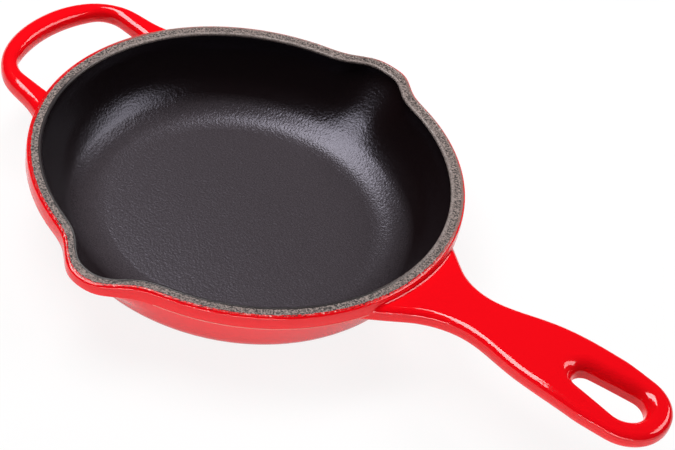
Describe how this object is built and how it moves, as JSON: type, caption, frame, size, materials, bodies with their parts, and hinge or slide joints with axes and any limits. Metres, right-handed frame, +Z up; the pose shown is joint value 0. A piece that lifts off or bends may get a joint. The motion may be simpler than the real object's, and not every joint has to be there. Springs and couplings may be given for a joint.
{
  "type": "cast iron skillet",
  "caption": "Round enamelled cast-iron skillet with a pouring lip on each side, a long handle with a hanging hole and a looped helper handle opposite it",
  "frame": {"origin": "the middle of the flat underside that the skillet stands on", "axes": "+X along the long handle, +Y towards one pouring lip, +Z up out of the pan"},
  "size_m": [0.4161, 0.2564, 0.0504],
  "materials": {
    "cast_iron": "sand-cast grey iron, fully covered by the coats",
    "exterior_enamel": "glossy red vitreous enamel",
    "interior_enamel": "satin black vitreous enamel with a fine orange-peel texture",
    "rim_ground_coat": "matt grey ground coat, gritty and bare of colour enamel"
  },
  "bodies": {
    "root": {"iron_casting": "cast_iron", "exterior_enamel": "exterior_enamel", "foot_enamel": "exterior_enamel", "interior_enamel": "interior_enamel", "rim_ground_coat": "rim_ground_coat"}
  },
  "joints": []
}
